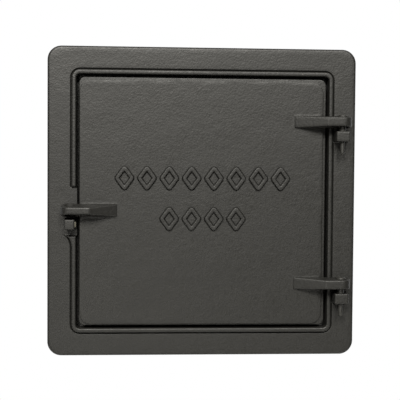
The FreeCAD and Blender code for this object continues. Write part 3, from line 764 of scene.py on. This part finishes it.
def blended(tree, share, first, second):
    """A colour between two others."""
    made = node(tree, "ShaderNodeMix", data_type="RGBA")
    link(tree, share, made.inputs["Factor"])
    for socket, value in ((made.inputs[6], first), (made.inputs[7], second)):
        if isinstance(value, tuple):
            socket.default_value = (*value, 1)
        else:
            link(tree, value, socket)
    return made.outputs[2]


def raised(tree, height, strength, distance, under=None):
    """A bump of the given height in metres, on top of another bump if there is one under it."""
    made = node(tree, "ShaderNodeBump", inputs={"Strength": strength, "Distance": distance})
    link(tree, height, made.inputs["Height"])
    if under is not None:
        link(tree, under, made.inputs["Normal"])
    return made.outputs["Normal"]


# %% Paint
SPECK_COLOUR = (0.36, 0.35, 0.31)


def painted_iron(name, dark, light, gloss, pebble):
    """Satin paint on cast iron: colour between dark and light, gloss as roughness, pebble as bump."""
    material = bpy.data.materials.new(name)
    material.use_nodes = True
    tree = material.node_tree
    shader = tree.nodes["Principled BSDF"]
    place = node(tree, "ShaderNodeTexCoord").outputs["Object"]

    lumps = noise(tree, place, 70, 3)
    dimples = noise(tree, place, 270, 2)
    grain = noise(tree, place, 2600, 4, 0.6)
    settings = {"Scale": 720, "Smoothness": 0.7}
    pebbles = node(tree, "ShaderNodeTexVoronoi", feature="SMOOTH_F1", inputs=settings)
    link(tree, place, pebbles.inputs["Vector"])
    patches = noise(tree, place, 38, 5, 0.6)
    mottle = noise(tree, place, 450, 2)

    # A speck stands at the middle of a few chosen cells
    dots = node(tree, "ShaderNodeTexVoronoi", feature="F1", inputs={"Scale": 110, "Randomness": 1.0})
    link(tree, place, dots.inputs["Vector"])
    chosen = node(tree, "ShaderNodeSeparateColor")
    link(tree, dots.outputs["Color"], chosen.inputs["Color"])
    few = between(tree, chosen.outputs["Red"], 0.955, 0.965, 0, 1)
    near = between(tree, dots.outputs["Distance"], 0.05, 0.09, 0.55, 0)
    specks = calc(tree, "MULTIPLY", near, few)

    paint = blended(tree, between(tree, patches, 0.35, 0.68, 0, 1), dark, light)
    link(tree, blended(tree, specks, paint, SPECK_COLOUR), shader.inputs["Base Color"])
    wide_sheen = between(tree, patches, 0.3, 0.7, 0.04, -0.05)
    fine_sheen = between(tree, mottle, 0.3, 0.7, 0.035, -0.035)
    sheen = calc(tree, "ADD", wide_sheen, fine_sheen)
    link(tree, calc(tree, "ADD", sheen, gloss), shader.inputs["Roughness"])

    skin = raised(tree, lumps, 0.35, 0.0006)
    skin = raised(tree, dimples, pebble, 0.0007, skin)
    hump = calc(tree, "MULTIPLY", pebbles.outputs["Distance"], -1)
    skin = raised(tree, hump, pebble, 0.0006, skin)
    skin = raised(tree, grain, pebble, 0.00012, skin)
    link(tree, skin, shader.inputs["Normal"])
    shader.inputs["Specular IOR Level"].default_value = 0.65
    return material


cast_paint = painted_iron(
    "satin_black_on_cast_iron",
    dark=(0.0115, 0.0112, 0.0098),
    light=(0.0165, 0.0161, 0.0144),
    gloss=0.5,
    pebble=0.16,
)
pin_paint = painted_iron(
    "dull_painted_steel",
    dark=(0.026, 0.0252, 0.0225),
    light=(0.04, 0.039, 0.036),
    gloss=0.45,
    pebble=0.1,
)
# The nib's paint: rubbed iron, many times lighter than the rest, partly wear and partly a painted highlight
# for the glint on its round face.
rubbed_iron_painted_glint = painted_iron(
    "rubbed_iron_painted_glint",
    dark=(0.11, 0.105, 0.08),
    light=(0.19, 0.182, 0.145),
    gloss=0.3,
    pebble=0.05,
)
for casting in (frame_casting, leaf_casting):
    casting.data.materials.append(cast_paint)
for pin in (upper_pin, lower_pin):
    pin.data.materials.append(pin_paint)
print("paints:", cast_paint.name, pin_paint.name, rubbed_iron_painted_glint.name)

# %% [markdown]
# The nib's faces come last in the frame's mesh, so their numbers are known, and they get the second
# material: rubbed iron whose light colour is partly a painted highlight.

# %% Rubbed nib with a painted highlight
frame_casting.data.materials.append(rubbed_iron_painted_glint)
slots = np.zeros(len(frame_casting.data.polygons), dtype=np.int32)
nib_faces = len(nib[1]) + len(nib[2])
slots[-nib_faces:] = 1
frame_casting.data.polygons.foreach_set("material_index", slots)
print("rubbed faces:", nib_faces)

# %% [markdown]
# ## Camera
#
# The photograph was taken from about 0.7 m in front, a little left of the middle and a little above
# it. The camera's place and turn come from fitting the corners of flange and leaf.

# %% Camera
CAMERA_PLACE = (-43.1, -706.0, 25.6)
turn, tilt, lean = np.radians((3.36, 1.95, 0.40))
forward = Vector((np.sin(turn) * np.cos(tilt), np.cos(turn) * np.cos(tilt), -np.sin(tilt)))
right = Vector((np.cos(turn), -np.sin(turn), 0))
up = right.cross(forward)
right, up = np.cos(lean) * right + np.sin(lean) * up, -np.sin(lean) * right + np.cos(lean) * up
lens = bpy.data.cameras.new("camera")
lens.sensor_width = 36
lens.lens = 76.58
camera = bpy.data.objects.new("camera", lens)
axes = Matrix((right, up, -forward)).transposed().to_4x4()
camera.matrix_world = Matrix.Translation(Vector(CAMERA_PLACE) * MM) @ axes
scene.collection.objects.link(camera)
scene.camera = camera
print("camera at", [round(v, 3) for v in camera.location])

# %% [markdown]
# ## Light, floor and white surroundings
#
# Two broad soft lights stand in front and above, one on each side of the camera, so that arms and
# lugs throw soft shadows downwards, and a weak one below the camera opens those shadows a little.
# One more stands behind, a little low, and shows the collar and the back of the leaf.
# The surroundings are white to the camera, and white far behind the object for reflections, so that
# the rims pick up a thin bright line. The floor is pale to the camera, but little light comes back
# up from it.

# %% Light
scene.view_settings.view_transform = "Standard"
LIGHT_AWAY, LIGHT_SIZE, LIGHT_COLOUR = 2.6, 0.85, (1.0, 0.975, 0.91)


def soft_light(name, turn, rise, power):
    """A square light aimed at the door. Its place is a point on a sphere, from its turn to the right and
    its rise in degrees: sine and minus cosine of the turn, both times the rise's cosine, and its sine."""
    turn, rise = np.radians((turn, rise))
    direction = Vector((np.cos(rise) * np.sin(turn), -np.cos(rise) * np.cos(turn), np.sin(rise)))
    place = direction * LIGHT_AWAY
    lamp = bpy.data.lights.new(name, "AREA")
    lamp.size = LIGHT_SIZE
    lamp.energy = power
    lamp.color = LIGHT_COLOUR
    made = bpy.data.objects.new(name, lamp)
    made.location = place
    made.rotation_euler = (-place).to_track_quat("-Z", "Y").to_euler()
    scene.collection.objects.link(made)
    print(f"light {name}: {power} W")


soft_light("upper_left", turn=-18, rise=33, power=58)
soft_light("upper_right", turn=13, rise=36, power=44)
soft_light("low_front", turn=-12, rise=-16, power=5)
soft_light("behind", turn=180, rise=-12, power=30)

# %% [markdown]
# The world's strength is 1, which is white, for rays that come from the camera, and nearly nothing
# for those that light the door. Reflections see white only far behind the door.

# %% White surroundings
DIM = 0.01
world = bpy.data.worlds.new("white_room")
scene.world = world
world.use_nodes = True
room = world.node_tree
background = room.nodes["Background"]
background.inputs["Color"].default_value = (1, 1, 1, 1)


def seen_by(tree, mirrored):
    """The largest of three: 1 for camera rays, 1 for rays through glass, and the share for reflections."""
    rays = node(tree, "ShaderNodeLightPath").outputs
    direct = calc(tree, "MAXIMUM", rays["Is Camera Ray"], rays["Is Transmission Ray"])
    return calc(tree, "MAXIMUM", direct, calc(tree, "MULTIPLY", rays["Is Glossy Ray"], mirrored))


heading = node(room, "ShaderNodeSeparateXYZ")
link(room, node(room, "ShaderNodeTexCoord").outputs["Generated"], heading.inputs["Vector"])
behind = between(room, heading.outputs["Y"], 0.1, 0.6, 0, 1)
white = calc(room, "MULTIPLY", seen_by(room, behind), 1 - DIM)
link(room, calc(room, "ADD", white, DIM), background.inputs["Strength"])
print("world:", world.name)

# %% [markdown]
# The floor is one square face below the door. It is the stage, and no piece of the part.

# %% Floor
FLOOR, FLOOR_HALF = -0.36, 0.6
PALE, BOUNCE = (0.8, 0.8, 0.79), (0.06, 0.06, 0.06)
floor_mesh = bpy.data.meshes.new("floor")
floor_corners = np.array([(-1, -1), (1, -1), (1, 1), (-1, 1)]) * FLOOR_HALF
floor_points = np.column_stack([floor_corners, np.full(4, FLOOR)])
floor_mesh.from_pydata(floor_points.tolist(), [], [(0, 1, 2, 3)])
floor = bpy.data.objects.new("floor", floor_mesh)
scene.collection.objects.link(floor)
pale_floor = bpy.data.materials.new("pale_floor")
pale_floor.use_nodes = True
tree = pale_floor.node_tree
matt = tree.nodes["Principled BSDF"]
matt.inputs["Roughness"].default_value = 0.9
tint = blended(tree, seen_by(tree, 1), BOUNCE, PALE)
link(tree, tint, matt.inputs["Base Color"])
floor.data.materials.append(pale_floor)
print("floor at", FLOOR, "m")
